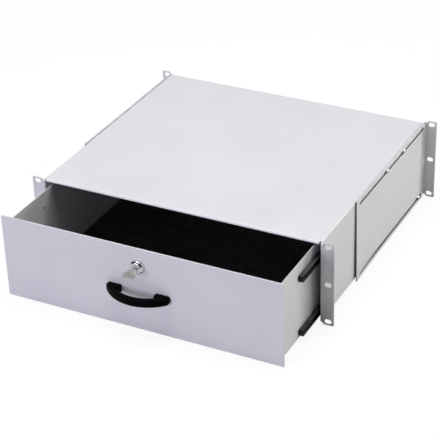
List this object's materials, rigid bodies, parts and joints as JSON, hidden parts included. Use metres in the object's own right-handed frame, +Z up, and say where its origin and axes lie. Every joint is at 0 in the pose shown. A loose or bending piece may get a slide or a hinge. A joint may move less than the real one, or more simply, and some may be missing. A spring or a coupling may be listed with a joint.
{
  "type": "sliding rack drawer",
  "caption": "Lockable steel drawer on ball slides inside a folded, open-bottomed rack casing with slotted front ears and adjustable slotted rear brackets.",
  "frame": {"origin": "middle of the front mounting slots, on the back face of the front ears, where they bear on the rack", "axes": "+X to the right seen from the front, +Y to the rear into the rack, +Z up"},
  "size_m": [0.4826, 0.5468, 0.1324],
  "materials": {
    "grey_paint": "satin light grey powder coat",
    "black_rail": "satin black",
    "zinc": "bright zinc plate",
    "ball_steel": "polished",
    "chrome": "polished chrome plate",
    "key_nickel": "satin nickel plate",
    "black_plastic": "satin black",
    "mat_rubber": "matt black"
  },
  "bodies": {
    "housing": {"casing_top": "grey_paint", "casing_side_right": "grey_paint", "casing_side_left": "grey_paint", "casing_back": "grey_paint", "back_screws": "zinc", "rivet_nuts": "zinc", "clamp_screws": "zinc", "outer_rail_upper_right": "black_rail", "outer_rail_upper_left": "black_rail", "outer_rail_lower_right": "black_rail", "outer_rail_lower_left": "black_rail"},
    "bracket_right": {"rear_bracket_right": "grey_paint"},
    "bracket_left": {"rear_bracket_left": "grey_paint"},
    "drawer": {"front_panel": "grey_paint", "drawer_tray": "grey_paint", "drawer_back": "grey_paint", "drawer_frame": "grey_paint", "drawer_mat": "mat_rubber", "panel_nuts": "zinc", "inner_rail_upper_right": "black_rail", "inner_rail_upper_left": "black_rail", "inner_rail_lower_right": "black_rail", "inner_rail_lower_left": "black_rail", "rail_rivets": "zinc", "handle": "black_plastic", "handle_screws": "zinc", "lock_barrel": "chrome", "lock_nut": "zinc"},
    "cage_upper_right": {"ball_cage_upper_right": "zinc", "balls_upper_right": "ball_steel"},
    "cage_upper_left": {"ball_cage_upper_left": "zinc", "balls_upper_left": "ball_steel"},
    "cage_lower_right": {"ball_cage_lower_right": "zinc", "balls_lower_right": "ball_steel"},
    "cage_lower_left": {"ball_cage_lower_left": "zinc", "balls_lower_left": "ball_steel"},
    "lock": {"lock_plug": "chrome", "lock_cam": "zinc", "cam_screw": "zinc"},
    "key": {"key": "key_nickel"}
  },
  "joints": [
    {"name": "drawer_slide", "type": "slide", "parent": "housing", "child": "drawer", "axis": [0, -1, 0], "range_m": [-0.114, 0.116]},
    {"name": "cage_upper_right_slide", "type": "slide", "parent": "housing", "child": "cage_upper_right", "axis": [0, -1, 0], "range_m": [-0.057, 0.058]},
    {"name": "cage_upper_left_slide", "type": "slide", "parent": "housing", "child": "cage_upper_left", "axis": [0, -1, 0], "range_m": [-0.057, 0.058]},
    {"name": "cage_lower_right_slide", "type": "slide", "parent": "housing", "child": "cage_lower_right", "axis": [0, -1, 0], "range_m": [-0.057, 0.058]},
    {"name": "cage_lower_left_slide", "type": "slide", "parent": "housing", "child": "cage_lower_left", "axis": [0, -1, 0], "range_m": [-0.057, 0.058]},
    {"name": "lock_turn", "type": "hinge", "parent": "drawer", "child": "lock", "pos_m": [0, -0.114, 0.03625], "axis": [0, 1, 0], "range_deg": [0, 90]},
    {"name": "key_pull", "type": "slide", "parent": "lock", "child": "key", "axis": [0, -1, 0], "range_m": [0, 0.024]},
    {"name": "bracket_right_slide", "type": "slide", "parent": "housing", "child": "bracket_right", "axis": [0, 1, 0], "range_m": [-0.008, 0.1]},
    {"name": "bracket_left_slide", "type": "slide", "parent": "housing", "child": "bracket_left", "axis": [0, 1, 0], "range_m": [-0.008, 0.1]}
  ],
  "couplings": [
    {"joint": "cage_upper_right_slide", "follows": "drawer_slide", "ratio": 0.5},
    {"joint": "cage_upper_left_slide", "follows": "drawer_slide", "ratio": 0.5},
    {"joint": "cage_lower_right_slide", "follows": "drawer_slide", "ratio": 0.5},
    {"joint": "cage_lower_left_slide", "follows": "drawer_slide", "ratio": 0.5}
  ]
}
